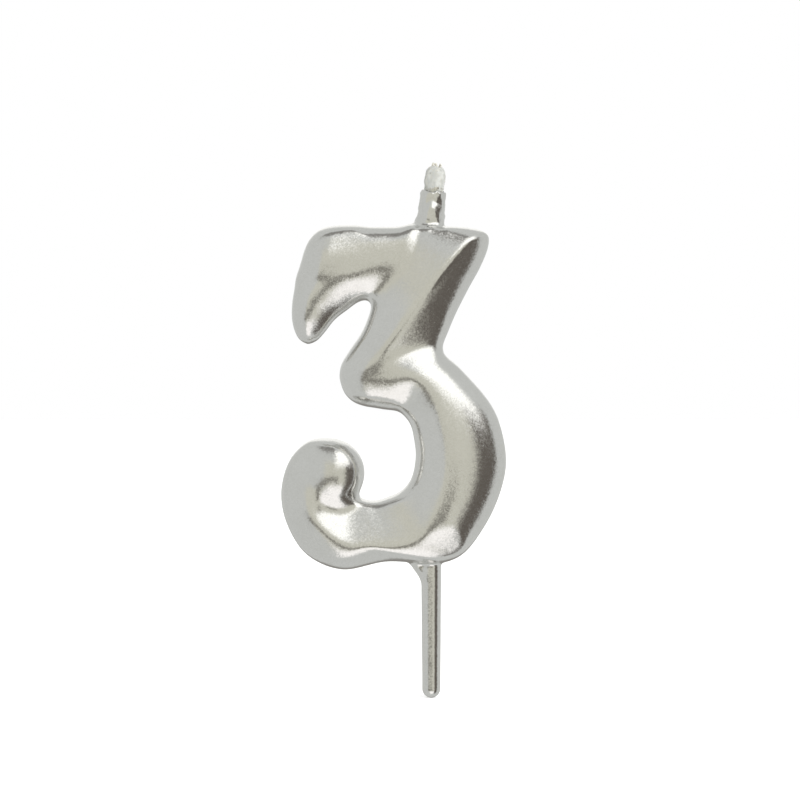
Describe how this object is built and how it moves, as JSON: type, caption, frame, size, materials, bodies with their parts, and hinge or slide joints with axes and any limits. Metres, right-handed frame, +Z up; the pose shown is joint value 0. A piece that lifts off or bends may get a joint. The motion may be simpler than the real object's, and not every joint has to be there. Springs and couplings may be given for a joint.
{
  "type": "number birthday candle",
  "caption": "Moulded numeral candle shaped as a figure three, dipped in a glossy silver film, with a stubby waxed wick on top and a straight cake pick below.",
  "frame": {"origin": "on the pick's axis, level with the lowest point of the numeral, where the top of the cake comes", "axes": "+Z up along the pick and towards the wick, +X to the reader's right, -Y towards the reader, who sees the figure the right way round"},
  "size_m": [0.0338, 0.0106, 0.0804],
  "materials": {
    "moulded_wax": "satin",
    "silver_film": "gloss",
    "priming_wax": "satin",
    "pick_wood": "matte",
    "wick_cotton": "matte"
  },
  "bodies": {
    "root": {"wax_numeral": "moulded_wax", "silver_film": "silver_film", "wick_priming_wax": "priming_wax", "wooden_pick": "pick_wood", "wick_strand_1": "wick_cotton", "wick_strand_2": "wick_cotton", "wick_strand_3": "wick_cotton"}
  },
  "joints": []
}
